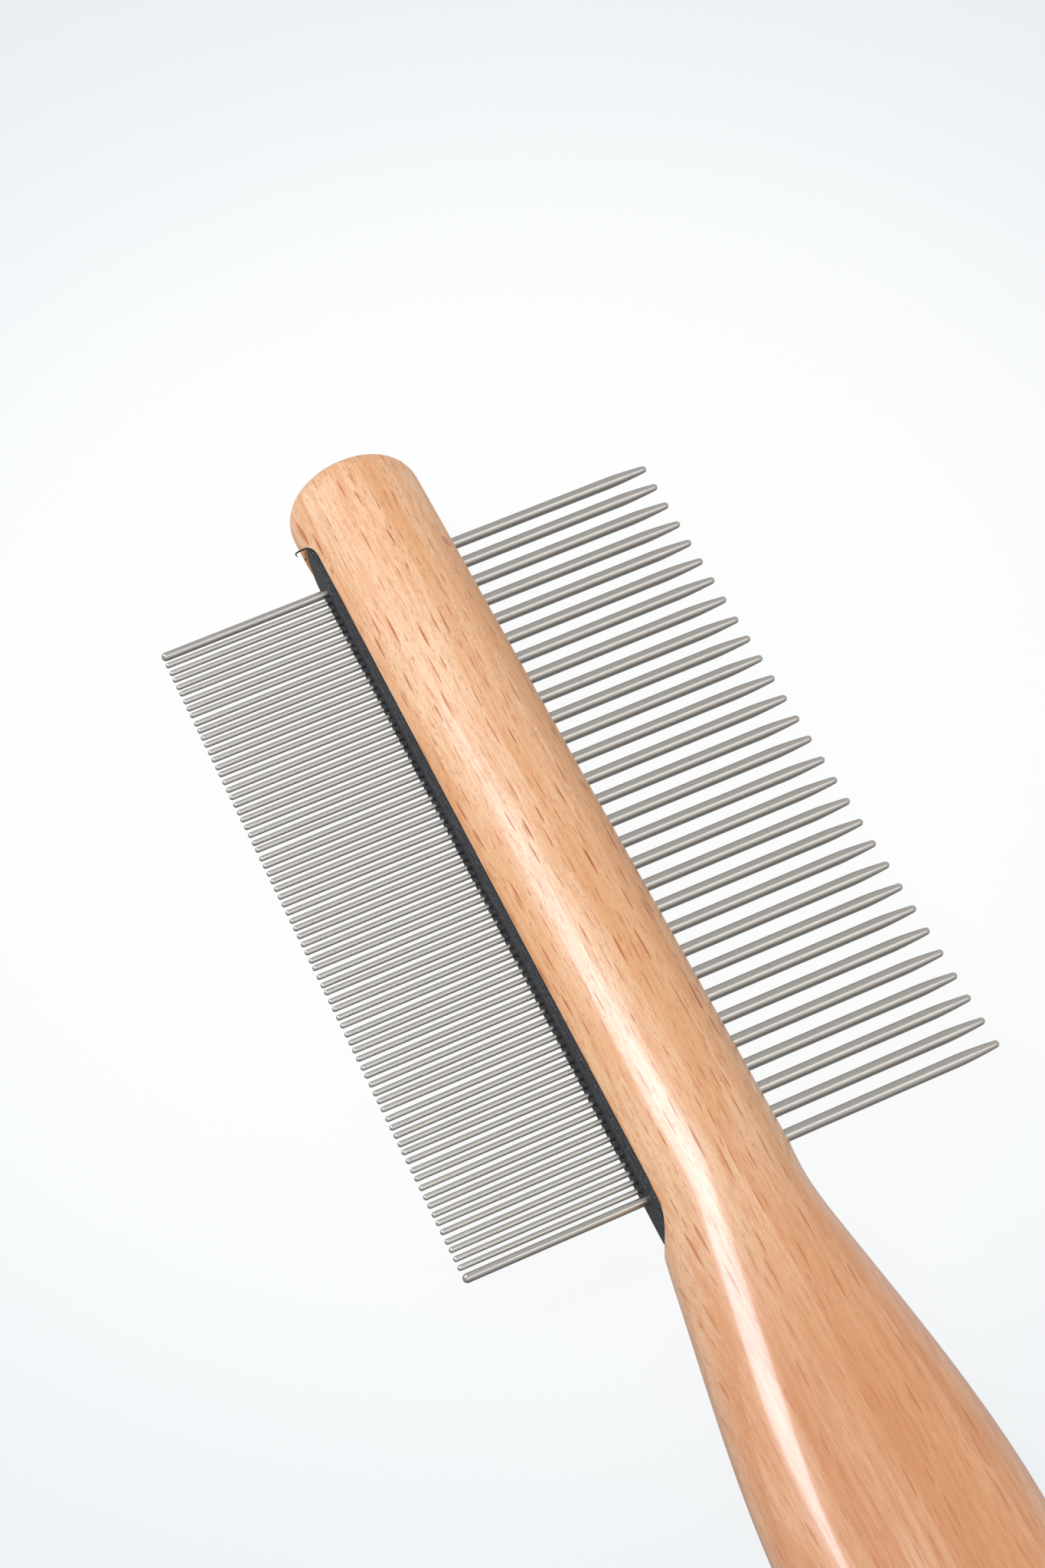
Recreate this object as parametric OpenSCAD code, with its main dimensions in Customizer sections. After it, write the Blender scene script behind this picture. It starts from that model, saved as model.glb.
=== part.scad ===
// Double-sided pet comb: one-piece beech handle, a row of coarse steel pins set straight in
// the wood on one side, and a plastic strip with a dense row of fine pins on the other.
// X runs across the comb (coarse pins to +X), Y along it (head to +Y), Z is up.
// The origin is on the axis of the round bar, level with the first pin of each row.

/* [Pin rows] */
// Distance between neighbouring coarse pins
coarse_pitch = 3.2; // [2.8:0.1:4]
// Number of coarse pins
coarse_count = 29; // [20:1:32]
// Number of pins in the fine row, with the two guard pins at its ends
fine_count = 78; // [54:4:78]
// Fine pins that one group holds
group_size = 4; // [4:1:4]

/* [Coarse pins] */
// Diameter of a coarse pin
coarse_d = 1.46; // [1:0.02:1.9]
// Distance from the bar's axis to the tips of the coarse pins
coarse_reach = 34.3; // [24:0.1:42]
// Length of the taper at the tip of a coarse pin
coarse_taper = 5; // [3:0.2:8]
// Diameter of the rounded tip of a coarse pin
coarse_tip_d = 0.78; // [0.3:0.02:1]
// How deep a coarse pin is set in the wood
coarse_seat = 9; // [5:0.5:10]

/* [Fine pins] */
// Diameter of a fine pin
fine_d = 0.66; // [0.5:0.02:0.8]
// Diameter of the two guard pins that end the fine row
guard_d = 1.06; // [0.8:0.02:1.4]
// How much further out a guard pin lies than the pitch of the fine pins would put it
guard_extra = 0.2; // [0:0.05:0.5]
// Distance from the bar's axis to the tips of the fine pins
fine_reach = 29.3; // [20:0.1:36]
// How deep a fine pin is set in the strip
fine_seat = 3.2; // [2:0.1:4]

/* [Fine strip] */
// Height of the strip, which is the width of its slot
strip_h = 7.3; // [5:0.1:9]
// Thickness of the strip, from its face to the floor of its slot
strip_t = 4.6; // [4:0.1:6]
// How far the strip stands proud of the lips of its slot
strip_proud = 0.45; // [0.2:0.05:0.8]
// Length of the strip past the first pin
strip_over_tip = 6.4; // [5:0.1:8]
// Length of the strip past the last coarse pin
strip_over_neck = 7; // [4:0.1:8]
// Bevel along the long edges of the strip's face
strip_bevel = 0.35; // [0.1:0.05:0.6]

/* [Handle] */
// Width of the round bar that holds the pins
bar_w = 16.9; // [15:0.1:22]
// Thickness of the whole handle
handle_t = 16.2; // [13:0.1:20]
// Length of the bar from the first pin to where the end starts to round off
head_over = 9.2; // [8:0.1:20]
// Length of the rounded end of the bar
head_round = 4.8; // [3:0.1:8]
// Distance from the last pin to the neck, where the grip starts to widen
neck_over = 1.5; // [1:0.1:12]
// Length over which the grip widens
flare_len = 48.5; // [35:0.5:75]
// Greatest width of the grip
grip_w = 27.6; // [22:0.2:36]
// How far the middle of the grip lies off the bar's axis, towards the fine pins
grip_shift = 0.5; // [0:0.1:1.5]
// Length from the widest place of the grip to where its butt starts to round off
grip_len = 36; // [20:1:50]
// Width of the grip where its butt starts to round off
butt_w = 26; // [20:0.2:32]
// Length of the rounded butt
butt_round = 15; // [10:0.5:20]
// Rounding of the grip's long edges, measured across the grip
edge_w = 6.8; // [4:0.1:7.5]

/* [Fits] */
// Glue gap around a pin in its hole, on the radius
pin_gap = 0.02; // [0.01:0.01:0.05]
// Glue gap around the strip in its slot
strip_gap = 0.03; // [0.02:0.01:0.08]

/* [Hidden] */
$fn = 48;
row_len = (coarse_count - 1) * coarse_pitch;
fine_pitch = row_len / (fine_count - 1);
group_count = (fine_count - 2) / group_size;
bar_r = bar_w / 2;
half_t = handle_t / 2;

// The lips of the slot lie where the round bar is as high as the strip.
lip_x = bar_r * sqrt(1 - pow(strip_h / handle_t, 2));
face_x = lip_x + strip_proud;
floor_x = face_x - strip_t;
// Distance past the face that the slot's cutter clears
slot_clear = 6;

// Sides of one cross-section of the handle
section_sides = 48;
// Half of the flat that stays on top of the round bar
bar_flat = 0.1;
// Share of the flare in which its curve comes in from the straight bar
flare_blend = 0.13;
// Exponent that holds the flare back near the neck
flare_power = 1.17;
// Share of the flare in which the grip comes to its sideways offset
shift_blend = 0.2;
// Exponents of the curves that round off the head, and the butt in plan and in thickness
head_power = 3;
butt_power = 2.3;
butt_edge_power = 2;
// Rings on each stretch of the handle
head_rings = 9;
flare_rings = 18;
grip_rings = 6;
butt_rings = 10;
// Smallest scale of a rounded end's last ring
last_scale = 0.12;
// Steps of the round at the tip of a pin, and of its taper
tip_steps = 5;
taper_steps = 4;
// Exponent of the taper, which is steeper towards the tip
taper_power = 1.5;

head_y = head_over;
neck_y = -row_len - neck_over;
wide_y = neck_y - flare_len;
butt_y = wide_y - grip_len;

function two_digits(i) = str(i < 10 ? "0" : "", i);
function coarse_name(i) = str("coarse_pin_", two_digits(i));
function fine_name(i) = str("fine_pins_", two_digits(i));
function coarse_y(i) = -(i - 1) * coarse_pitch;
function fine_y(i) =
    -(i - 1) * fine_pitch - (i > 1 ? guard_extra : 0) - (i == fine_count ? guard_extra : 0);
function lerp(a, b, t) = a + (b - a) * t;

// 0 before the neck, then a line that a short parabola leads into
function ramp(s) = s <= 0 ? 0 : s < flare_blend ? s * s / (2 * flare_blend) : s - flare_blend / 2;
function flare(s) = sin(90 * pow(ramp(s) / ramp(1), flare_power));

// How much of the section is left at t = 0 to 1 along a rounded end
function dome(t, power) = max(last_scale, pow(1 - pow(t, power), 1 / power));
// Places along a rounded end, closer together where it turns faster
function dome_step(i, n) = sin(90 * i / n);

// A ring is [y, half width, rounding of the edge across the width, half thickness, middle].
function ring(y, half_w, edge, middle, scale_w, scale_t) =
    [y, half_w * scale_w, min(edge, half_w - bar_flat) * scale_w, half_t * scale_t, middle];

head_ring_list = [
    for (i = [head_rings : -1 : 0])
        let (t = dome_step(i, head_rings), k = dome(t, head_power))
            ring(head_y + head_round * t, bar_r, bar_r, 0, k, k)
];
flare_ring_list = [
    for (i = [0 : flare_rings])
        let (s = i / flare_rings)
            ring(lerp(neck_y, wide_y, s), lerp(bar_r, grip_w / 2, flare(s)),
                lerp(bar_r, edge_w, s), -grip_shift * sin(90 * min(1, s / shift_blend)), 1, 1)
];
grip_ring_list = [
    for (i = [1 : grip_rings])
        let (s = i / grip_rings)
            ring(lerp(wide_y, butt_y, s), lerp(grip_w, butt_w, s * s) / 2, edge_w,
                -grip_shift, 1, 1)
];
butt_ring_list = [
    for (i = [1 : butt_rings])
        let (t = dome_step(i, butt_rings), edge_t = max(0, 1 - butt_round * (1 - t) / edge_w))
            ring(butt_y - butt_round * t, butt_w / 2, edge_w, -grip_shift,
                dome(t, butt_power), dome(edge_t, butt_edge_power))
];
rings = concat(head_ring_list, flare_ring_list, grip_ring_list, butt_ring_list);

// Points of one ring: half an ellipse on each side, with a flat between them above and below
function side_points(r, side) = [
    for (i = [0 : section_sides / 2])
        let (a = -90 + 360 * i / section_sides)
            [r[4] + side * (r[1] - r[2] + r[2] * cos(a)), r[0], side * r[3] * sin(a)]
];
function ring_points(r) = concat(side_points(r, 1), side_points(r, -1));
ring_size = section_sides + 2;

// Triangles between ring k and the next one
function band(k) = [
    for (i = [0 : ring_size - 1])
        let (j = (i + 1) % ring_size, a = k * ring_size, b = a + ring_size)
            each [[a + i, b + j, a + j], [a + i, b + i, b + j]]
];

// The solid body of the handle, before its slot and holes are cut
module handle_blank() {
    last = len(rings) - 1;
    polyhedron(
        points = [for (r = rings) each ring_points(r)],
        faces = concat(
            [[for (i = [0 : ring_size - 1]) i]],
            [for (k = [0 : last - 1]) each band(k)],
            [[for (i = [ring_size - 1 : -1 : 0]) last * ring_size + i]]
        )
    );
}

// A bar along Y with round ends, lying with its back on x = -back and reaching to x = -front
module slot_bar(back, front, height, end_tip, end_neck) {
    r = height / 2;
    translate([-front, 0, 0])
        rotate([0, 90, 0])
            linear_extrude(height = front - back) {
                translate([0, end_tip - r])
                    circle(r);
                translate([0, end_neck + r])
                    circle(r);
                translate([-r, end_neck + r])
                    square([height, end_tip - end_neck - height]);
            }
}

// One pin along +X from x = start to x = reach, with a taper and a rounded tip
module pin(d, start, reach, taper, tip_d) {
    r = d / 2;
    tip_r = tip_d / 2;
    cone = taper - tip_r;
    translate([start, 0, 0])
        rotate([0, 90, 0])
            rotate_extrude()
                polygon(concat(
                    [[0, 0], [r, 0]],
                    [
                        for (i = [0 : taper_steps - 1])
                            let (t = i / taper_steps)
                                if (i == 0 || cone > 0)
                                    [lerp(r, tip_r, pow(t, taper_power)),
                                        reach - start - taper + cone * t]
                    ],
                    [
                        for (i = [0 : tip_steps - 1])
                            let (a = 90 * i / tip_steps)
                                [tip_r * cos(a), reach - start - tip_r + tip_r * sin(a)]
                    ],
                    [[0, reach - start]]
                ));
}

// A blind hole along +X for a pin, open at the end it is drilled from
module pin_hole(d, floor_at, open_at) {
    translate([floor_at, 0, 0])
        rotate([0, 90, 0])
            cylinder(r = d / 2 + pin_gap, h = open_at - floor_at);
}

module handle() {
    color("#dba877")
        difference() {
            handle_blank();
            slot_bar(floor_x - strip_gap, bar_r + slot_clear, strip_h + 2 * strip_gap,
                strip_over_tip + strip_gap, -row_len - strip_over_neck - strip_gap);
            for (i = [1 : coarse_count])
                translate([0, coarse_y(i), 0])
                    pin_hole(coarse_d, bar_r - coarse_seat - pin_gap, bar_r + slot_clear);
        }
}

module fine_strip() {
    color("#3c3d40")
        difference() {
            slot_bar(floor_x, face_x, strip_h, strip_over_tip, -row_len - strip_over_neck);
            for (side = [-1, 1])
                translate([-face_x, 0, side * strip_h / 2])
                    rotate([0, 45, 0])
                        cube([strip_bevel * sqrt(2), 4 * row_len, strip_bevel * sqrt(2)],
                            center = true);
            for (i = [2 : fine_count - 1])
                translate([0, fine_y(i), 0])
                    mirror([1, 0, 0])
                        pin_hole(fine_d, face_x - fine_seat - pin_gap, face_x + slot_clear);
            for (i = [1, fine_count])
                translate([0, fine_y(i), 0])
                    mirror([1, 0, 0])
                        pin_hole(guard_d, face_x - fine_seat - pin_gap, face_x + slot_clear);
        }
}

module coarse_pin(i) {
    color("#a8a49f")
        translate([0, coarse_y(i), 0])
            pin(coarse_d, bar_r - coarse_seat, coarse_reach, coarse_taper, coarse_tip_d);
}

// A pin of the fine row, with a plain rounded tip
module fine_row_pin(i, d) {
    translate([0, fine_y(i), 0])
        mirror([1, 0, 0])
            pin(d, face_x - fine_seat, fine_reach, d / 2, d);
}

module guard_pin(i) {
    color("#a8a49f")
        fine_row_pin(i, guard_d);
}

module fine_pins(group) {
    color("#c2c0bc")
        for (i = [1 : group_size])
            fine_row_pin(1 + (group - 1) * group_size + i, fine_d);
}

handle();
fine_strip();
guard_pin(1);  // guard_pin_tip
guard_pin(fine_count);  // guard_pin_neck
for (i = [1 : coarse_count])
    coarse_pin(i);
for (i = [1 : group_count])
    fine_pins(i);
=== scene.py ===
"""Double-sided pet comb: beech handle, coarse steel pins set in the wood, fine pins in a strip."""

import math

import bmesh
import bpy
from mathutils import Matrix, Vector


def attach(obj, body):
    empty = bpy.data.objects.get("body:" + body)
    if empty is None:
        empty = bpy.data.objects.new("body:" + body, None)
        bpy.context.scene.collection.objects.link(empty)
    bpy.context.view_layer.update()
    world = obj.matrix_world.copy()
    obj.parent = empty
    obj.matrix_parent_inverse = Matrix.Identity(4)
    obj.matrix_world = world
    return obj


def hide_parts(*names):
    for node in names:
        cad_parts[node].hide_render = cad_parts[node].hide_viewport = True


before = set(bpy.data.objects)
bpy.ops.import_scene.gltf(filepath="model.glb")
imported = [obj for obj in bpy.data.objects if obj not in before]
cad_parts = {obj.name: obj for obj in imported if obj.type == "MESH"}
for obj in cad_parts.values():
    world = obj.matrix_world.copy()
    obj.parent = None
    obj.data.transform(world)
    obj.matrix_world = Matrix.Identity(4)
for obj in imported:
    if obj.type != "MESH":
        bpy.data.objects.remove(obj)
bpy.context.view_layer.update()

# ---------------------------------------------------------------------------------------------
# Beech handle
# One piece of beech, turned to a round bar with a domed head, and shaped to a wide, flat-topped
# grip. A slot with round ends is milled in one side of the bar, and a row of holes is drilled in
# the other. The wood has a clear gloss lacquer.
# ---------------------------------------------------------------------------------------------

# Sizes are in millimetres. A mesh is scaled to metres once it is shaped and cut.
MM = 0.001

# The row of coarse pins and its holes
coarse_pitch = 3.2
coarse_count = 29
row_len = (coarse_count - 1) * coarse_pitch
coarse_d = 1.46
coarse_seat = 9.0
pin_gap = 0.02

# The strip and its slot
strip_h = 7.3
strip_t = 4.6
strip_proud = 0.45
strip_tip_y = 6.4
strip_neck_y = -row_len - 7
strip_gap = 0.03

# The bar, and the flare, grip and butt that follow it towards -Y
bar_r = 8.45
half_t = 8.1
bar_flat = 0.1
head_y = 9.2
head_round = 4.8
neck_y = -row_len - 1.5
flare_len = 48.5
wide_y = neck_y - flare_len
grip_half = 13.8
grip_shift = 0.5
grip_len = 36.0
butt_y = wide_y - grip_len
butt_half = 13.0
butt_round = 15.0
edge_w = 6.8
flare_blend = 0.13
flare_power = 1.17
shift_blend = 0.2
head_power = 3
butt_power = 2.3
butt_edge_power = 2

# How far from the bar's axis the slot's lips, the strip's face and the slot's floor lie
lip_x = bar_r * math.sqrt(1 - (strip_h / 2 / half_t) ** 2)
face_x = lip_x + strip_proud
floor_x = face_x - strip_t

# How far a cutter reaches out past the surface that it cuts
cutter_past = 3


def lerp(a, b, t):
    """The value a share t of the way from a to b."""
    return a + (b - a) * t


def dome(t, power):
    """Width left at a share t of the way up a rounded end, from 1 down to 0."""
    return max(0.0, 1 - t**power) ** (1 / power)


def ramp(s):
    """A straight slope that starts softly, which is how the flare leaves the bar."""
    if s <= 0:
        return 0.0
    return s * s / (2 * flare_blend) if s < flare_blend else s - flare_blend / 2


def plan(y):
    """Half width, edge rounding and middle of the bar and of the flare, at a place along them."""
    s = min(1.0, max(0.0, (neck_y - y) / flare_len))
    half_w = lerp(bar_r, grip_half, math.sin(math.pi / 2 * (ramp(s) / ramp(1)) ** flare_power))
    middle = -grip_shift * math.sin(math.pi / 2 * min(1.0, s / shift_blend))
    return half_w, lerp(bar_r, edge_w, s), middle


def section(y, half_w, edge, middle, scale_w, scale_t):
    """One ring of the handle: half an ellipse on each side, with a flat between them."""
    steps = 72
    edge = min(edge, half_w - bar_flat) * scale_w
    core = half_w * scale_w - edge
    ring = []
    for side in (1, -1):
        for i in range(steps + 1):
            a = math.radians(-90 + 180 * i / steps)
            x = middle + side * (core + edge * math.cos(a))
            ring.append((x, y, side * half_t * scale_t * math.sin(a)))
    return ring


def handle_rings():
    """All rings of the handle, from the top of the head to the end of the butt."""
    rings = []
    head_steps, flare_steps, grip_steps, butt_steps = 26, 72, 16, 34
    for i in range(head_steps - 1, -1, -1):
        t = math.sin(math.pi / 2 * i / head_steps)
        k = dome(t, head_power)
        rings.append(section(head_y + head_round * t, bar_r, bar_r, 0, k, k))
    # The straight bar has a ring midway between every two holes.
    for i in range(-2, coarse_count - 1):
        rings.append(section(-(i + 0.5) * coarse_pitch, bar_r, bar_r, 0, 1, 1))
    for i in range(flare_steps + 1):
        y = lerp(neck_y, wide_y, i / flare_steps)
        rings.append(section(y, *plan(y), 1, 1))
    for i in range(1, grip_steps + 1):
        s = i / grip_steps
        half_w = lerp(grip_half, butt_half, s * s)
        rings.append(section(lerp(wide_y, butt_y, s), half_w, edge_w, -grip_shift, 1, 1))
    for i in range(1, butt_steps):
        t = math.sin(math.pi / 2 * i / butt_steps)
        y = butt_y - butt_round * t
        scale_w = dome(t, butt_power)
        scale_t = dome(max(0.0, 1 - butt_round * (1 - t) / edge_w), butt_edge_power)
        rings.append(section(y, butt_half, edge_w, -grip_shift, scale_w, scale_t))
    return rings


def loft(bm, rings, closed=True):
    """Skins a list of rings with quads. If closed, a fan to its middle fills each end ring."""
    rows = [[bm.verts.new(p) for p in ring] for ring in rings]
    n = len(rings[0])
    for a, b in zip(rows, rows[1:]):
        for i in range(n):
            j = (i + 1) % n
            bm.faces.new((a[i], a[j], b[j], b[i]))
    if closed:
        for row, order in ((rows[0], 1), (rows[-1], -1)):
            middle = bm.verts.new(sum((v.co for v in row), Vector()) / n)
            for i in range(n):
                pair = (row[i], row[(i + 1) % n])[::-order]
                bm.faces.new((pair[0], pair[1], middle))
    return rows


def finished(name, bm, smooth_angle=None):
    """An object from a bmesh, with its faces outward: in metres, or left in millimetres to cut."""
    bmesh.ops.remove_doubles(bm, verts=bm.verts, dist=1e-5)
    bmesh.ops.recalc_face_normals(bm, faces=bm.faces)
    mesh = bpy.data.meshes.new(name)
    bm.to_mesh(mesh)
    bm.free()
    if smooth_angle is not None:
        mesh.transform(Matrix.Scale(MM, 4))
        mesh.shade_smooth()
        mesh.set_sharp_from_angle(angle=math.radians(smooth_angle))
    piece = bpy.data.objects.new(name, mesh)
    bpy.context.scene.collection.objects.link(piece)
    return piece


def baked(piece):
    """The evaluated mesh of a piece, which takes the place of its modifiers."""
    bpy.context.view_layer.update()
    graph = bpy.context.evaluated_depsgraph_get()
    mesh = bpy.data.meshes.new_from_object(piece.evaluated_get(graph))
    piece.modifiers.clear()
    piece.data = mesh
    mesh.name = piece.name
    return piece


def cut(piece, cutter, smooth_angle):
    """Cuts one closed mesh out of another, both still in millimetres, then scales to metres."""
    modifier = piece.modifiers.new("cut", "BOOLEAN")
    modifier.operation = "DIFFERENCE"
    modifier.solver = "EXACT"
    modifier.object = cutter
    baked(piece)
    bpy.data.objects.remove(cutter)
    piece.data.transform(Matrix.Scale(MM, 4))
    piece.data.shade_smooth()
    piece.data.set_sharp_from_angle(angle=math.radians(smooth_angle))
    return piece


def stadium(grow):
    """Outline of the slot or strip in the Y-Z plane, as (y, z, outward y, outward z)."""
    arc_steps, straight_steps = 24, 28
    r = strip_h / 2
    outline = []
    for middle_y, turn in ((strip_tip_y - r, 90), (strip_neck_y + r, -90)):
        for i in range(arc_steps + 1):
            a = math.radians(turn - 180 * i / arc_steps)
            n = (math.cos(a), math.sin(a))
            outline.append((middle_y + (r + grow) * n[0], (r + grow) * n[1], n[0], n[1]))
        # The straight stretch to the next round end
        side = -1 if turn > 0 else 1
        far = strip_neck_y + r if turn > 0 else strip_tip_y - r
        for i in range(1, straight_steps):
            y = lerp(middle_y, far, i / straight_steps)
            outline.append((y, side * (r + grow), 0.0, float(side)))
    return outline


def left_surface(y, z):
    """How far left the surface of the bar or flare lies at height z."""
    half_w, edge, middle = plan(y)
    edge = min(edge, half_w - bar_flat)
    return middle - (half_w - edge) - edge * math.sqrt(max(0.0, 1 - (z / half_t) ** 2))


def slot_cutter(bm):
    """The slot, with a mouth that rounds the lips over where they meet the bar's surface."""
    lip_round = 0.24
    lip_clear = 0.004
    steps = 6
    bottom_x = -floor_x + strip_gap
    outside_x = -bar_r - cutter_past
    outline = stadium(strip_gap)
    rings = [[(bottom_x, y, z) for y, z, ny, nz in outline]]
    for k in range(steps + 1):
        t = k / steps
        ring = []
        for y, z, ny, nz in outline:
            far_y, far_z = y + lip_round * ny, z + lip_round * nz
            wall = Vector((left_surface(y, z) + lip_round, y, z))
            corner = Vector((left_surface(y, z), y, z))
            top = Vector((left_surface(far_y, far_z) - lip_clear, far_y, far_z))
            ring.append(wall * (1 - t) ** 2 + corner * 2 * t * (1 - t) + top * t * t)
        rings.append(ring)
    rings.append([(outside_x, y + lip_round * ny, z + lip_round * nz) for y, z, ny, nz in outline])
    loft(bm, rings, closed=False)
    for x in (bottom_x, outside_x):
        cap = [v for v in bm.verts if abs(v.co.x - x) < 1e-4]
        bmesh.ops.contextual_create(bm, geom=cap)


def lathe(bm, profile, y, sign=1, sides=24):
    """A closed turned solid along X at height y, from (x, radius) pairs."""
    rings = []
    for x, r in profile:
        ring = []
        for i in range(sides):
            a = 2 * math.pi * i / sides
            ring.append((sign * x, y + r * math.cos(a), r * math.sin(a)))
        rings.append(ring)
    loft(bm, rings)


blank = bmesh.new()
loft(blank, handle_rings())
handle = finished("beech_handle", blank)

cutter = bmesh.new()
slot_cutter(cutter)
# Every hole is countersunk a little at its mouth.
hole_r = coarse_d / 2 + pin_gap
mouth_r = hole_r + 0.05
mouth_bottom, mouth_top = bar_r - 0.12, bar_r - 0.02
hole_profile = [(bar_r - coarse_seat, hole_r), (mouth_bottom, hole_r), (mouth_top, mouth_r),
                (bar_r + cutter_past, mouth_r)]
for i in range(coarse_count):
    lathe(cutter, hole_profile, -i * coarse_pitch)
cut(handle, finished("handle_cutter", cutter), 38)


class Wire:
    """One output of a node. Arithmetic on it adds Math nodes to its tree."""

    def __init__(self, tree, socket):
        self.tree = tree
        self.socket = socket

    def __add__(self, other):
        return self.tree.math("ADD", self, other)

    def __sub__(self, other):
        return self.tree.math("SUBTRACT", self, other)

    def __rsub__(self, other):
        return self.tree.math("SUBTRACT", other, self)

    def __mul__(self, other):
        return self.tree.math("MULTIPLY", self, other)

    def __truediv__(self, other):
        return self.tree.math("DIVIDE", self, other)

    def __rtruediv__(self, other):
        return self.tree.math("DIVIDE", other, self)

    def __pow__(self, other):
        return self.tree.math("POWER", self, other)

    def __neg__(self):
        return self.tree.math("MULTIPLY", self, -1.0)

    def __abs__(self):
        return self.tree.math("ABSOLUTE", self)

    __radd__ = __add__
    __rmul__ = __mul__


class Tree:
    """A node tree. One method adds any node: its settings come first, then its inputs."""

    def __init__(self, tree):
        self.tree = tree

    def node(self, kind, settings=None, output=0, **inputs):
        """Inputs go by name, with _ for a space, or by number, as i0, i1 and so on."""
        made = self.tree.nodes.new(kind)
        for key, value in (settings or {}).items():
            setattr(made, key, value)
        for key, value in inputs.items():
            socket = int(key[1:]) if key[1:].isdigit() else key.replace("_", " ")
            self.plug(made.inputs[socket], value)
        return Wire(self, made.outputs[output]) if len(made.outputs) else made

    def plug(self, socket, value):
        if isinstance(value, Wire):
            self.tree.links.new(value.socket, socket)
        else:
            socket.default_value = value

    def math(self, operation, *values):
        inputs = {f"i{k}": value for k, value in enumerate(values)}
        return self.node("ShaderNodeMath", {"operation": operation}, **inputs)

    def vector(self, operation, *values):
        inputs = {f"i{k}": value for k, value in enumerate(values)}
        return self.node("ShaderNodeVectorMath", {"operation": operation}, **inputs)

    def split(self, vector):
        made = self.tree.nodes.new("ShaderNodeSeparateXYZ")
        self.plug(made.inputs[0], vector)
        return [Wire(self, socket) for socket in made.outputs]

    def smooth(self, value, low, high):
        """A soft step from 0 at low to 1 at high, or the other way up where low is the greater."""
        if low > high:
            return 1.0 - self.smooth(value, high, low)
        settings = {"interpolation_type": "SMOOTHSTEP"}
        return self.node("ShaderNodeMapRange", settings, Value=value, From_Min=low, From_Max=high)

    def blend(self, factor, a, b, mode="MIX"):
        """Colour a turning to colour b. A Mix node's colours are inputs 6 and 7 and output 2."""
        settings = {"data_type": "RGBA", "blend_type": mode, "clamp_factor": True}
        a, b = [(*c, 1.0) if isinstance(c, tuple) and len(c) == 3 else c for c in (a, b)]
        return self.node("ShaderNodeMix", settings, 2, i0=factor, i6=a, i7=b)


class Finish(Tree):
    """A material, with Object coordinates in millimetres to build its patterns on."""

    def __init__(self, name):
        self.material = bpy.data.materials.new(name)
        self.material.use_nodes = True
        super().__init__(self.material.node_tree)
        self.tree.nodes.clear()
        self.place = self.node("ShaderNodeTexCoord", output="Object")

    def scaled(self, x, y, z, offset=(0, 0, 0), source=None):
        """Object coordinates divided by a feature's size along each axis, in millimetres."""
        scale = (1 / (x * MM), 1 / (y * MM), 1 / (z * MM))
        return self.node("ShaderNodeMapping", Vector=source or self.place, Scale=scale,
                         Location=offset)

    def noise(self, x, y, z, detail=2.0, rough=0.5, offset=(0, 0, 0), source=None, output=0):
        """Noise with patches of the given size. Output 1 is three noises, as a vector."""
        place = self.scaled(x, y, z, offset, source)
        return self.node("ShaderNodeTexNoise", None, output, Vector=place, Scale=1.0, Detail=detail,
                         Roughness=rough)

    def surface(self, **inputs):
        shader = self.node("ShaderNodeBsdfPrincipled", **inputs)
        self.node("ShaderNodeOutputMaterial", Surface=shader)
        return self.material

    def bump(self, height, strength, depth):
        """A bump of the given depth in millimetres where height goes from 0 to 1."""
        return self.node("ShaderNodeBump", Height=height, Strength=strength, Distance=depth * MM)


def linear(r, g, b):
    """A colour given in the usual 0 to 255 values, as the light it stands for."""
    return tuple(c / 255 / 12.92 if c < 11 else ((c / 255 + 0.055) / 1.055) ** 2.4
                 for c in (r, g, b))


def flecks(wood, cell_size, half_width, half_length, offset, source):
    """Spindle-shaped ray flecks, about one in each cell: a sharp core, and a wider halo."""
    across, along, deep = cell_size
    place = wood.scaled(across, along, deep, offset, source)
    cell = wood.node("ShaderNodeTexVoronoi", {"feature": "F1"}, "Position", Vector=place, Scale=1.0)
    luck = wood.node("ShaderNodeTexWhiteNoise", None, 0, Vector=cell)
    border = wood.node("ShaderNodeTexVoronoi", {"feature": "DISTANCE_TO_EDGE"}, "Distance",
                       Vector=place, Scale=1.0)
    dx, dy, _ = wood.split(wood.vector("SUBTRACT", place, cell))
    # Some are three times as long as others, and none reaches the edge of its cell.
    size = 0.35 + 0.8 * luck
    run = abs(dy) * along / (half_length * size)
    width = half_width * size * wood.math("MAXIMUM", 1.0 - run * run, 0.0)
    width = width * wood.smooth(border, 0.0, 0.16)
    off = abs(dx) * across
    strength = 0.4 + 0.6 * wood.math("FRACT", luck * 7.3)
    core = wood.smooth((width - off) / half_width, 0.0, 0.55) * strength
    halo = wood.smooth((width * 2.1 - off) / half_width, 0.0, 1.6) * strength
    return core, halo


beech = Finish("beech_lacquered")
px, py, _ = beech.split(beech.place)
right_mm, along_mm = px / MM, py / MM
# The grain wanders sideways by up to 1.3 mm.
wander_width = 2.6 * MM
drift = beech.noise(22, 60, 22, detail=2.0, output=1)
wander = beech.vector("SUBTRACT", drift, (0.5, 0.5, 0.5))
wander = beech.vector("MULTIPLY", wander, (wander_width, 0.0, wander_width))
grain = beech.vector("ADD", beech.place, wander)

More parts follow.
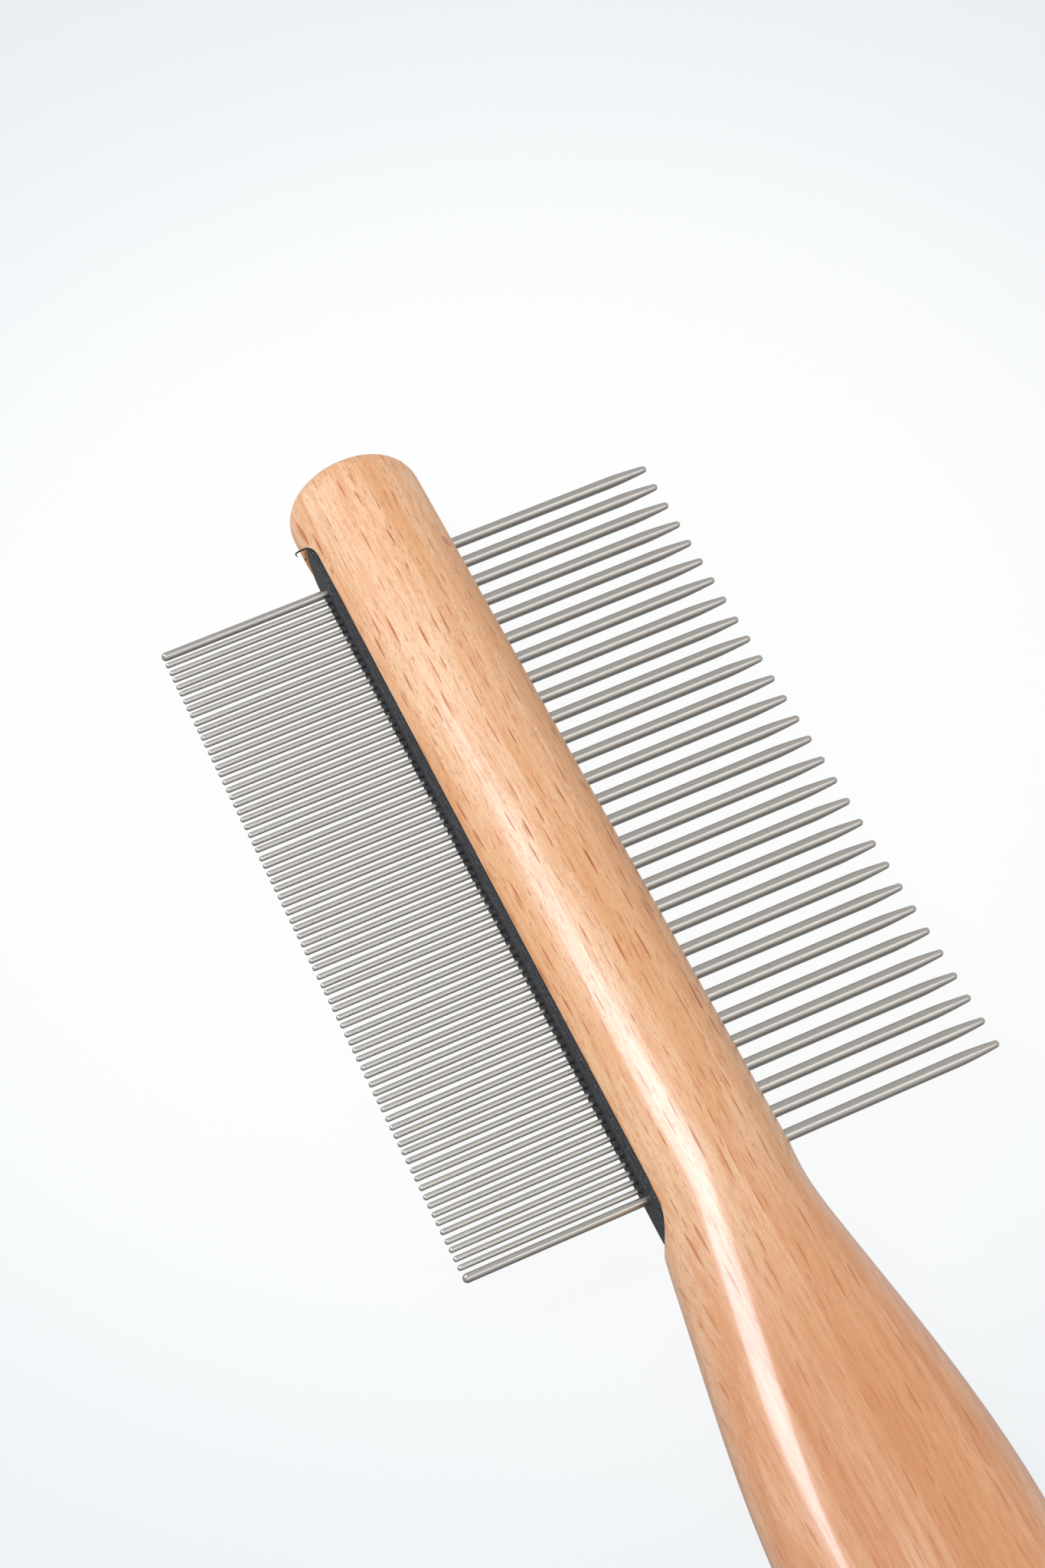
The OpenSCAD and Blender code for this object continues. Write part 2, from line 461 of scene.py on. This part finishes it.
# Growth rings run round a heart that lies far below the comb, so they show as broad bands on top.
heart_right = 34.0
heart_below = 78.0
ring_width = 2.9
gx, _, gz = beech.split(grain)
ring_x = gx / MM - heart_right
ring_z = gz / MM + heart_below
ring_place = beech.math("SQRT", ring_x * ring_x + ring_z * ring_z)
growth = beech.math("FRACT", ring_place / ring_width + beech.noise(9, 120, 9) * 0.5)
late = beech.smooth(growth, 0.3, 0.96) * (1.0 - beech.smooth(growth, 0.96, 1.0))
tone = beech.noise(8, 52, 8, detail=3.0)
streak = beech.noise(0.55, 14, 1.6, detail=3.0, rough=0.6, source=grain)
fibre = beech.noise(0.13, 2.6, 0.35, detail=3.0, rough=0.65, source=grain)
pore = beech.noise(0.1, 0.95, 0.3, detail=1.0, offset=(9, 3, 5), source=grain)
pore = beech.smooth(pore, 0.6, 0.7)
large, large_halo = flecks(beech, (1.5, 6.2, 9.0), 0.14, 2.9, (0, 0, 0), grain)
small, small_halo = flecks(beech, (0.85, 3.4, 6.0), 0.07, 1.5, (5.3, 2.1, 7.7), grain)
patch = beech.smooth(beech.noise(6, 14, 9, offset=(3, 1, 2)), 0.34, 0.6)

pale = linear(245, 204, 165)
honey = linear(235, 181, 133)
orange = linear(218, 147, 89)
fleck_brown = linear(170, 80, 28)
pore_brown = linear(184, 116, 66)
stain_red = linear(188, 104, 70)
# The colour of the painted shade towards the grip
grip_shade_tint = linear(214, 158, 108)
end_brown = linear(204, 146, 104)

color = beech.blend(beech.smooth(tone, 0.34, 0.66), pale, honey)
color = beech.blend(late * 0.4, color, orange)
color = beech.blend(beech.smooth(streak, 0.4, 0.68) * 0.5, color, orange)
color = beech.blend(beech.smooth(fibre, 0.42, 0.66) * 0.42, color, orange)
# Towards the grip the finer marks fade, and the colour is darkened as painted shade, where the soft
# box's light falls off.
toward_grip = beech.smooth(along_mm, -78, -125)
crisp = 1.0 - 0.65 * toward_grip
color = beech.blend(pore * crisp * 0.55, color, pore_brown)
# Reddish mineral stains, low on the side with the coarse pins
stain = beech.smooth(beech.noise(1.5, 4.5, 4, detail=1.0, offset=(2, 6, 3)), 0.67, 0.76)
stain = stain * beech.smooth(right_mm, 5.2, 7.0) * (1.0 - toward_grip) * 0.6
color = beech.blend(stain, color, stain_red)
color = beech.blend(small_halo * 0.3, color, orange)
color = beech.blend(large_halo * 0.7, color, orange)
color = beech.blend(small * crisp * 0.75, color, fleck_brown)
color = beech.blend(large * crisp * (0.6 + 0.4 * patch), color, fleck_brown)
# Painted shade: the wood is darkened towards the grip.
color = beech.blend(toward_grip * 0.4, color, grip_shade_tint, "MULTIPLY")
# The dome of the head shows end grain, which is darker.
end_grain = beech.smooth(along_mm, 10.0, 13.9)
color = beech.blend(end_grain * 0.3, color, end_brown)

# The lacquer is thin and matt on the head, silky on the bar, and full and glossy on the grip.
peel = beech.noise(0.5, 0.9, 0.5, detail=3.0, rough=0.6, offset=(1, 4, 2))
thin_lacquer = beech.smooth(along_mm, -62, 5)
full_lacquer = beech.smooth(along_mm, -38, -110)
rough = 0.28 + 0.13 * thin_lacquer + 0.08 * fibre + 0.08 * large + 0.05 * peel
relief = (fibre * 0.6 - pore * 0.5 - large * 0.4 + peel * 0.9) * (1.0 - 0.6 * toward_grip)
handle.data.materials.append(beech.surface(
    Base_Color=color, Roughness=rough, Normal=beech.bump(relief, 0.7, 0.02), IOR=1.6,
    Coat_Weight=0.06 + 0.6 * full_lacquer, Coat_Roughness=0.12, Coat_IOR=1.5))

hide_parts("handle")
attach(handle, "root")

# ---------------------------------------------------------------------------------------------
# Strip that holds the fine pins
# A moulded bar of dark grey filled plastic, pushed into the slot and glued. Its arrises are
# slightly rounded, and it is drilled for every pin.
# ---------------------------------------------------------------------------------------------

fine_count = 78
fine_pitch = row_len / (fine_count - 1)
fine_d = 0.66
guard_d = 1.06
guard_extra = 0.2
fine_reach = 29.3
fine_seat = 3.2
arris = 0.34
back_chamfer = 0.15


def strip_rings():
    """Rings of the strip from its back, which is chamfered, to its face with rounded arrises."""
    rings = [[(-floor_x, y, z) for y, z, ny, nz in stadium(-back_chamfer)],
             [(-floor_x - back_chamfer, y, z) for y, z, ny, nz in stadium(0)]]
    steps = 5
    for k in range(steps + 1):
        a = math.pi / 2 * k / steps
        x = -face_x + arris * (1 - math.sin(a))
        rings.append([(x, y, z) for y, z, ny, nz in stadium(arris * (math.cos(a) - 1))])
    return rings


blank = bmesh.new()
rows = loft(blank, strip_rings(), closed=False)
blank.faces.new(rows[0])
blank.faces.new(rows[-1][::-1])
strip = finished("fine_pin_strip", blank)
cutter = bmesh.new()
hole_bottom, hole_top = face_x - fine_seat - pin_gap, face_x + 2
for i in range(fine_count):
    # Each guard pin stands a little further out than the pitch. The row starts with one at 0.
    r = (guard_d if i in (0, fine_count - 1) else fine_d) / 2 + pin_gap
    y = -i * fine_pitch - guard_extra * ((i > 0) + (i == fine_count - 1))
    lathe(cutter, [(hole_bottom, r), (hole_top, r)], y, sign=-1, sides=16)
cut(strip, finished("strip_cutter", cutter), 34)

plastic = Finish("strip_filled_plastic")
_, _, pz = plastic.split(plastic.place)
up_mm = pz / MM
coarse_grain = plastic.noise(0.3, 0.36, 0.3, detail=3.0, rough=0.65)
fine_grain = plastic.noise(0.11, 0.13, 0.11, detail=2.0, rough=0.7)
cloud = plastic.noise(2.0, 7.0, 2.0, detail=2.0)
# Filler grains with painted glints, lighter grey spots in their colour, most of all along the upper
# arris
glint = plastic.smooth(plastic.noise(0.13, 0.16, 0.13, detail=0.0, offset=(2, 7, 1)), 0.66, 0.74)
upper_arris_glint = plastic.smooth(up_mm, 1.6, 3.0) * plastic.smooth(up_mm, 3.72, 3.55)
charcoal = linear(32, 33, 36)
slate = linear(47, 48, 51)
pit_black = linear(20, 21, 24)
glint_gray = linear(170, 172, 178)
color = plastic.blend(cloud, charcoal, slate)
color = plastic.blend(fine_grain * 0.5, color, pit_black)
# Painted glints: light grey spots on the grains, strongest along the upper arris.
color = plastic.blend(glint * (0.12 + 0.3 * upper_arris_glint), color, glint_gray)
rough = 0.5 + 0.2 * coarse_grain - 0.2 * glint
relief = coarse_grain * 0.6 + fine_grain * 0.4 + glint * 0.3
strip_plastic = plastic.surface(
    Base_Color=color, Roughness=rough, Normal=plastic.bump(relief, 0.6, 0.05), IOR=1.4)
strip.data.materials.append(strip_plastic)

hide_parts("fine_strip")
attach(strip, "root")

# ---------------------------------------------------------------------------------------------
# Moulding flash and glue at the strip's head end
# A whisker of flash from the same mould as the strip curls out past the wood, over a small
# brown bead of glue that set on the lip.
# ---------------------------------------------------------------------------------------------


def tube(bm, points, radii):
    """A round tube on a smooth curve through points, with a radius at each of them."""
    sides, steps = 8, 6
    points = [Vector(p) for p in points]
    guide = [points[0] * 2 - points[1], *points, points[-1] * 2 - points[-2]]
    path = []
    for k in range(len(points) - 1):
        a, b, c, d = guide[k:k + 4]
        for i in range(steps):
            t = i / steps
            at = 0.5 * (b * 2 + (c - a) * t + (a * 2 - b * 5 + c * 4 - d) * t * t
                        + (b * 3 - a - c * 3 + d) * t**3)
            path.append((at, lerp(radii[k], radii[k + 1], t)))
    path.append((points[-1], radii[-1]))
    rings = []
    side = None
    for k, (at, r) in enumerate(path):
        along = (path[min(k + 1, len(path) - 1)][0] - path[max(k - 1, 0)][0]).normalized()
        side = (along.orthogonal() if side is None else side - along * side.dot(along)).normalized()
        up = along.cross(side)
        turns = [2 * math.pi * i / sides for i in range(sides)]
        rings.append([at + (side * math.cos(a) + up * math.sin(a)) * r for a in turns])
    loft(bm, rings)


# The whisker leaves the strip's upper arris, runs down round its end and hooks past the lip.
whisker_path = [(-7.7, 4.0, 3.45), (-7.86, 4.8, 3.05), (-8.16, 5.65, 2.35), (-8.52, 6.3, 1.5),
                (-8.86, 6.85, 0.75), (-9.1, 7.2, 0.15), (-9.12, 7.25, -0.25), (-9.0, 7.1, -0.5)]
whisker_radii = [0.05, 0.1, 0.12, 0.12, 0.11, 0.1, 0.08, 0.04]
whisker = bmesh.new()
tube(whisker, whisker_path, whisker_radii)
flash = finished("strip_flash", whisker, 60)
flash.data.materials.append(strip_plastic)
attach(flash, "root")

bead_x, bead_y, bead_z = -8.26, 6.5, -0.6
bead = bmesh.new()
bmesh.ops.create_icosphere(bead, subdivisions=3, radius=1.0)
for v in bead.verts:
    x, y, z = v.co
    lump = 1 + 0.18 * math.sin(5 * x + 2) * math.cos(4 * y)
    v.co = Vector((bead_x + 0.14 * x, bead_y + 0.2 * lump * y, bead_z + 0.22 * lump * z))
glue = finished("glue_bead", bead, 60)
resin = Finish("glue_brown")
color = resin.blend(resin.noise(0.3, 0.3, 0.3), linear(84, 48, 30), linear(130, 82, 50))
glue.data.materials.append(resin.surface(
    Base_Color=color, Roughness=0.2 + 0.2 * resin.noise(0.2, 0.2, 0.2), IOR=1.5,
    Normal=resin.bump(resin.noise(0.25, 0.25, 0.25), 0.5, 0.05)))
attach(glue, "root")

# ---------------------------------------------------------------------------------------------
# Coarse pins
# 29 pins of drawn steel wire, each with its end ground to a long taper and a small round tip.
# They are pressed and glued straight into the holes in the wood.
# ---------------------------------------------------------------------------------------------

coarse_reach = 34.3
coarse_taper = 5.0
coarse_tip_d = 0.78


def steel(name, light, dark, base_rough):
    """Satin drawn steel: lines along the wire, smudges that change its gloss, and odd nicks."""
    wire = Finish(name)
    lines = wire.noise(7.0, 0.09, 0.09, detail=3.0, rough=0.7)
    smudge = wire.noise(1.6, 0.5, 0.5, detail=3.0, rough=0.6)
    nick = wire.smooth(wire.noise(0.4, 0.16, 0.16, detail=1.0, offset=(4, 1, 9)), 0.69, 0.77)
    color = wire.blend(0.7 * lines + 0.3 * smudge, light, dark)
    color = wire.blend(nick * 0.4, color, linear(90, 87, 84))
    rough = base_rough + 0.1 * lines + 0.1 * smudge
    relief = lines * 0.7 - nick * 0.6 + smudge * 0.3
    return wire.surface(Base_Color=color, Metallic=1.0 - 0.12 * nick, Roughness=rough,
                        Normal=wire.bump(relief, 0.35, 0.01))


class RowTree(Tree):
    """A Geometry Nodes tree with named inputs, given as pairs of a name and a socket type."""

    def __init__(self, name, inputs):
        self.group = bpy.data.node_groups.new(name, "GeometryNodeTree")
        super().__init__(self.group)
        sockets = self.group.interface
        sockets.new_socket("Geometry", in_out="OUTPUT", socket_type="NodeSocketGeometry")
        self.named = {}
        for label, kind in inputs:
            socket = sockets.new_socket(label, in_out="INPUT", socket_type=kind)
            self.named[label] = socket.identifier
        self.entry = self.group.nodes.new("NodeGroupInput")

    def __getitem__(self, label):
        return Wire(self, self.entry.outputs[label])

    def finish(self, geometry, material):
        whole = self.node("GeometryNodeRealizeInstances", Geometry=geometry)
        painted = self.node("GeometryNodeSetMaterial", Geometry=whole, Material=material)
        self.node("NodeGroupOutput", i0=painted)

    def make(self, name, values):
        """A plain mesh object in metres, from the tree run with these values."""
        smooth_angle = 50
        mesh = bpy.data.meshes.new(name)
        piece = bpy.data.objects.new(name, mesh)
        bpy.context.scene.collection.objects.link(piece)
        modifier = piece.modifiers.new("row", "NODES")
        modifier.node_group = self.group
        for label, value in values.items():
            modifier[self.named[label]] = value
        baked(piece)
        piece.data.transform(Matrix.Scale(MM, 4))
        piece.data.shade_smooth()
        piece.data.set_sharp_from_angle(angle=math.radians(smooth_angle))
        return piece


FLOAT, INT, MATERIAL = "NodeSocketFloat", "NodeSocketInt", "NodeSocketMaterial"
row_tree = RowTree("pin_row", [
    ("Count", INT), ("Pitch", FLOAT), ("First Y", FLOAT), ("Root X", FLOAT), ("Seat", FLOAT),
    ("Free Length", FLOAT), ("Radius", FLOAT), ("Taper", FLOAT), ("Tip Radius", FLOAT),
    ("Sides", INT), ("Rings", INT), ("Side", FLOAT), ("Lean", FLOAT), ("Seed", INT),
    ("Material", MATERIAL)])


def pin_shape(tree):
    """One pin along X: a cylinder whose rings are moved to make the shank, taper and round tip."""
    rod = tree.node("GeometryNodeMeshCylinder", {"fill_type": "TRIANGLE_FAN"}, "Mesh",
                    Vertices=tree["Sides"], Side_Segments=tree["Rings"], Radius=1.0, Depth=1.0)
    x, y, z = tree.split(tree.node("GeometryNodeInputPosition"))
    t = z + 0.5
    # The first tenth of the rings is the plain wire, and the rest the end, closer at the tip.
    wire_share = 0.1
    plain = tree.math("MINIMUM", t * (1 / wire_share), 1.0)
    end = tree.math("MAXIMUM", (t - wire_share) / (1 - wire_share), 0.0)
    worked = tree.math("MAXIMUM", tree["Taper"], tree["Tip Radius"])
    run = plain * (tree["Free Length"] + tree["Seat"] - worked) - tree["Seat"]
    along = run + worked * tree.math("SINE", end * (math.pi / 2))
    left = tree.math("MAXIMUM", tree["Free Length"] - along, 0.0)
    # Slim towards the tip, with a soft start to the taper
    share = tree.math("MINIMUM", left / worked, 1.0)
    bulge = 1.0 - (1.0 - share) ** 1.5
    wide = tree["Tip Radius"] + (tree["Radius"] - tree["Tip Radius"]) * bulge
    near = tree.math("MINIMUM", left / tree["Tip Radius"], 1.0)
    r = wide * tree.math("SQRT", tree.math("MAXIMUM", near * (2.0 - near), 0.0))
    side = tree["Side"]
    moved = tree.node("ShaderNodeCombineXYZ", X=along * side, Y=x * r, Z=y * r * side)
    return tree.node("GeometryNodeSetPosition", Geometry=rod, Position=moved)


def pin_row(tree):
    """A straight row of pins, each turned on its axis and leaning a little, at random."""
    first = tree.node("ShaderNodeCombineXYZ", X=tree["Root X"] * tree["Side"], Y=tree["First Y"])
    step = tree.node("ShaderNodeCombineXYZ", Y=-tree["Pitch"])
    places = tree.node("GeometryNodeMeshLine", {"mode": "OFFSET"}, Count=tree["Count"],
                       Start_Location=first, Offset=step)
    lean = tree["Lean"]
    half_turn = 3.14
    most = tree.node("ShaderNodeCombineXYZ", X=half_turn, Y=lean, Z=lean)
    least = tree.node("ShaderNodeCombineXYZ", X=-half_turn, Y=-lean, Z=-lean)
    turn = tree.node("FunctionNodeRandomValue", {"data_type": "FLOAT_VECTOR"}, 0, i0=least, i1=most,
                     Seed=tree["Seed"])
    pins = tree.node("GeometryNodeInstanceOnPoints", Points=places, Instance=pin_shape(tree),
                     Rotation=turn)
    tree.finish(pins, tree["Material"])


pin_row(row_tree)
satin_steel = steel("pin_steel_satin", linear(215, 210, 204), linear(185, 179, 172), 0.14)
coarse_row = row_tree.make("coarse_pins", {
    "Count": coarse_count, "Pitch": coarse_pitch, "First Y": 0.0, "Root X": bar_r,
    "Seat": coarse_seat - pin_gap, "Free Length": coarse_reach - bar_r, "Radius": coarse_d / 2,
    "Taper": coarse_taper, "Tip Radius": coarse_tip_d / 2, "Sides": 20, "Rings": 20, "Side": 1.0,
    "Lean": 0.0022, "Seed": 4, "Material": satin_steel})
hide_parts(*[f"coarse_pin_{i:02d}" for i in range(1, coarse_count + 1)])
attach(coarse_row, "root")

# ---------------------------------------------------------------------------------------------
# Guard pins
# Two steel pins with round tips, thicker than the fine ones, one at each end of the fine row.
# They are pressed into the strip and keep the fine pins from being bent.
# ---------------------------------------------------------------------------------------------

guard_row = row_tree.make("guard_pins", {
    "Count": 2, "Pitch": row_len + 2 * guard_extra, "First Y": 0.0, "Root X": face_x,
    "Seat": fine_seat, "Free Length": fine_reach - face_x, "Radius": guard_d / 2, "Taper": 0.0,
    "Tip Radius": guard_d / 2, "Sides": 20, "Rings": 10, "Side": -1.0, "Lean": 0.0015, "Seed": 2,
    "Material": satin_steel})
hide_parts("guard_pin_tip", "guard_pin_neck")
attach(guard_row, "root")

# ---------------------------------------------------------------------------------------------
# Fine pins
# 76 thin steel pins with plain round tips, pressed into the strip. The plastic swells into a
# small collar round each of them.
# ---------------------------------------------------------------------------------------------

bright_steel = steel("fine_steel_bright", linear(221, 216, 209), linear(192, 187, 180), 0.13)
plain_count = fine_count - 2
first_plain_y = -fine_pitch - guard_extra
pins_per_node = 4
fine_row = row_tree.make("fine_pins", {
    "Count": plain_count, "Pitch": fine_pitch, "First Y": first_plain_y, "Root X": face_x,
    "Seat": fine_seat, "Free Length": fine_reach - face_x, "Radius": fine_d / 2, "Taper": 0.0,
    "Tip Radius": fine_d / 2, "Sides": 14, "Rings": 8, "Side": -1.0, "Lean": 0.003, "Seed": 9,
    "Material": bright_steel})
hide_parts(*[f"fine_pins_{i:02d}" for i in range(1, plain_count // pins_per_node + 1)])
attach(fine_row, "root")

collar_tree = RowTree("pin_collars", [
    ("Count", INT), ("Pitch", FLOAT), ("First Y", FLOAT), ("Face X", FLOAT), ("Radius", FLOAT),
    ("Width", FLOAT), ("Height", FLOAT), ("Seed", INT), ("Material", MATERIAL)])


def pin_collars(tree):
    """A low ring of plastic round every pin, of uneven height."""
    ring = tree.node("GeometryNodeMeshCylinder", {"fill_type": "NONE"}, "Mesh", Vertices=14,
                     Side_Segments=3, Radius=1.0, Depth=1.0)
    x, y, z = tree.split(tree.node("GeometryNodeInputPosition"))
    t = z + 0.5
    # Wide at its foot and hollow-sided up to the pin
    r = tree["Radius"] + tree["Width"] * (1.0 - t) * (1.0 - t)
    moved = tree.node("ShaderNodeCombineXYZ", X=-(tree["Height"] * t), Y=x * r, Z=y * r)
    ring = tree.node("GeometryNodeSetPosition", Geometry=ring, Position=moved)
    first = tree.node("ShaderNodeCombineXYZ", X=-tree["Face X"], Y=tree["First Y"])
    step = tree.node("ShaderNodeCombineXYZ", Y=-tree["Pitch"])
    places = tree.node("GeometryNodeMeshLine", {"mode": "OFFSET"}, Count=tree["Count"],
                       Start_Location=first, Offset=step)
    tall = tree.node("FunctionNodeRandomValue", {"data_type": "FLOAT"}, 1, i2=0.6, i3=1.2,
                     Seed=tree["Seed"])
    scale = tree.node("ShaderNodeCombineXYZ", X=tall, Y=1.0, Z=1.0)
    rings = tree.node("GeometryNodeInstanceOnPoints", Points=places, Instance=ring, Scale=scale)
    tree.finish(rings, tree["Material"])


pin_collars(collar_tree)
# They start just inside the strip and end just clear of the pins.
collar_sunk = 0.005
collar_clear = 0.002
collars = collar_tree.make("pin_collars", {
    "Count": plain_count, "Pitch": fine_pitch, "First Y": first_plain_y,
    "Face X": face_x - collar_sunk, "Radius": fine_d / 2 + collar_clear, "Width": 0.16,
    "Height": 0.5, "Seed": 3, "Material": strip_plastic})
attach(collars, "root")

# ---------------------------------------------------------------------------------------------
# Studio
# The comb lies on a pale table that is lit from within, so it hardly casts a shadow. A soft box
# hangs above the head on the left. The room is a graded grey with one long, pale window, and the
# table doesn't show in reflections.
# ---------------------------------------------------------------------------------------------

table_half = 4000
table_drop = 0.02
sheet = bmesh.new()
bmesh.ops.create_grid(sheet, x_segments=1, y_segments=1, size=table_half)
for v in sheet.verts:
    v.co.z = -half_t - table_drop
floor = finished("floor", sheet, 30)

# A painted pool of light: the floor glows brightest round the comb, and a cooler, darker white
# further out
bright_x, bright_y = 8.0, -20.0
painted_pool_white = (0.93, 0.94, 0.94)
outer_white = (0.765, 0.80, 0.825)
paper = Finish("floor_lit_paper")
px, py, _ = paper.split(paper.place)
far_x, far_y = px / MM - bright_x, py / MM - bright_y
far = paper.math("SQRT", far_x * far_x + far_y * far_y)
light = paper.blend(paper.smooth(far, 45, 155), painted_pool_white, outer_white)
glow = paper.node("ShaderNodeEmission", Color=light, Strength=1.0)
fibres = paper.noise(0.8, 0.8, 0.8)
dull = paper.blend(fibres, (0.045, 0.045, 0.045), (0.055, 0.055, 0.055))
lit = paper.node("ShaderNodeAddShader", i0=glow, i1=paper.node("ShaderNodeBsdfDiffuse", Color=dull))
paper.node("ShaderNodeOutputMaterial", Surface=lit)
floor.data.materials.append(paper.material)
floor.visible_glossy = False

world = bpy.data.worlds.new("studio")
bpy.context.scene.world = world
world.use_nodes = True
room = Tree(world.node_tree)
room.tree.nodes.clear()
dx, dy, dz = room.split(room.node("ShaderNodeTexCoord", output="Generated"))
# Darker low down on the camera's side, with a long soft window above the comb there
low = room.smooth(dz + 0.5 * dy, -1.0, -0.2)
window = room.smooth(-dy, 0.17, 0.36) * room.smooth(-dy, 0.98, 0.42) * room.smooth(dz, 0.0, 0.1)
window = window * room.smooth(abs(dx), 0.65, 0.35)
gray = 0.18 + 0.34 * low + 0.16 * room.smooth(dx, -0.3, 0.8) + 1.0 * window
sky = room.node("ShaderNodeBackground", Color=(1.0, 1.0, 1.0, 1), Strength=gray)
room.node("ShaderNodeOutputWorld", Surface=sky)

box = bpy.data.lights.new("box_left", "AREA")
box.shape = "RECTANGLE"
box.size = 0.18
box.size_y = 0.3
box.energy = 1.62
box.color = (0.92, 1.0, 1.13)
# It faces the comb's middle.
box_aim = Vector((0.0, -0.065, 0.0))
box_toward = Vector((-0.45, 0.40, 0.80)).normalized()
box_distance = 0.55
lamp = bpy.data.objects.new("box_left", box)
lamp.location = box_aim + box_toward * box_distance
lamp.rotation_euler = box_toward.to_track_quat("Z", "Y").to_euler()
bpy.context.scene.collection.objects.link(lamp)

# The camera stands beyond the grip and looks down along the comb to its head.
eye_data = bpy.data.cameras.new("eye")
eye_data.lens = 77.65
eye_data.sensor_width = 36.0
eye_data.sensor_fit = "AUTO"
eye_data.clip_start = 0.01
eye_data.clip_end = 20.0
eye = bpy.data.objects.new("eye", eye_data)
eye_at = (-0.066748, -0.241913, 0.322168)
right = Vector((0.911, -0.4069, -0.0666))
up = Vector((0.3726, 0.7435, 0.5553))
back = Vector((-0.1765, -0.5307, 0.829))
turned = Matrix((right, up, back)).transposed().to_4x4()
eye.matrix_world = Matrix.Translation(eye_at) @ turned
bpy.context.scene.collection.objects.link(eye)
bpy.context.scene.camera = eye
bpy.context.scene.view_settings.view_transform = "Standard"
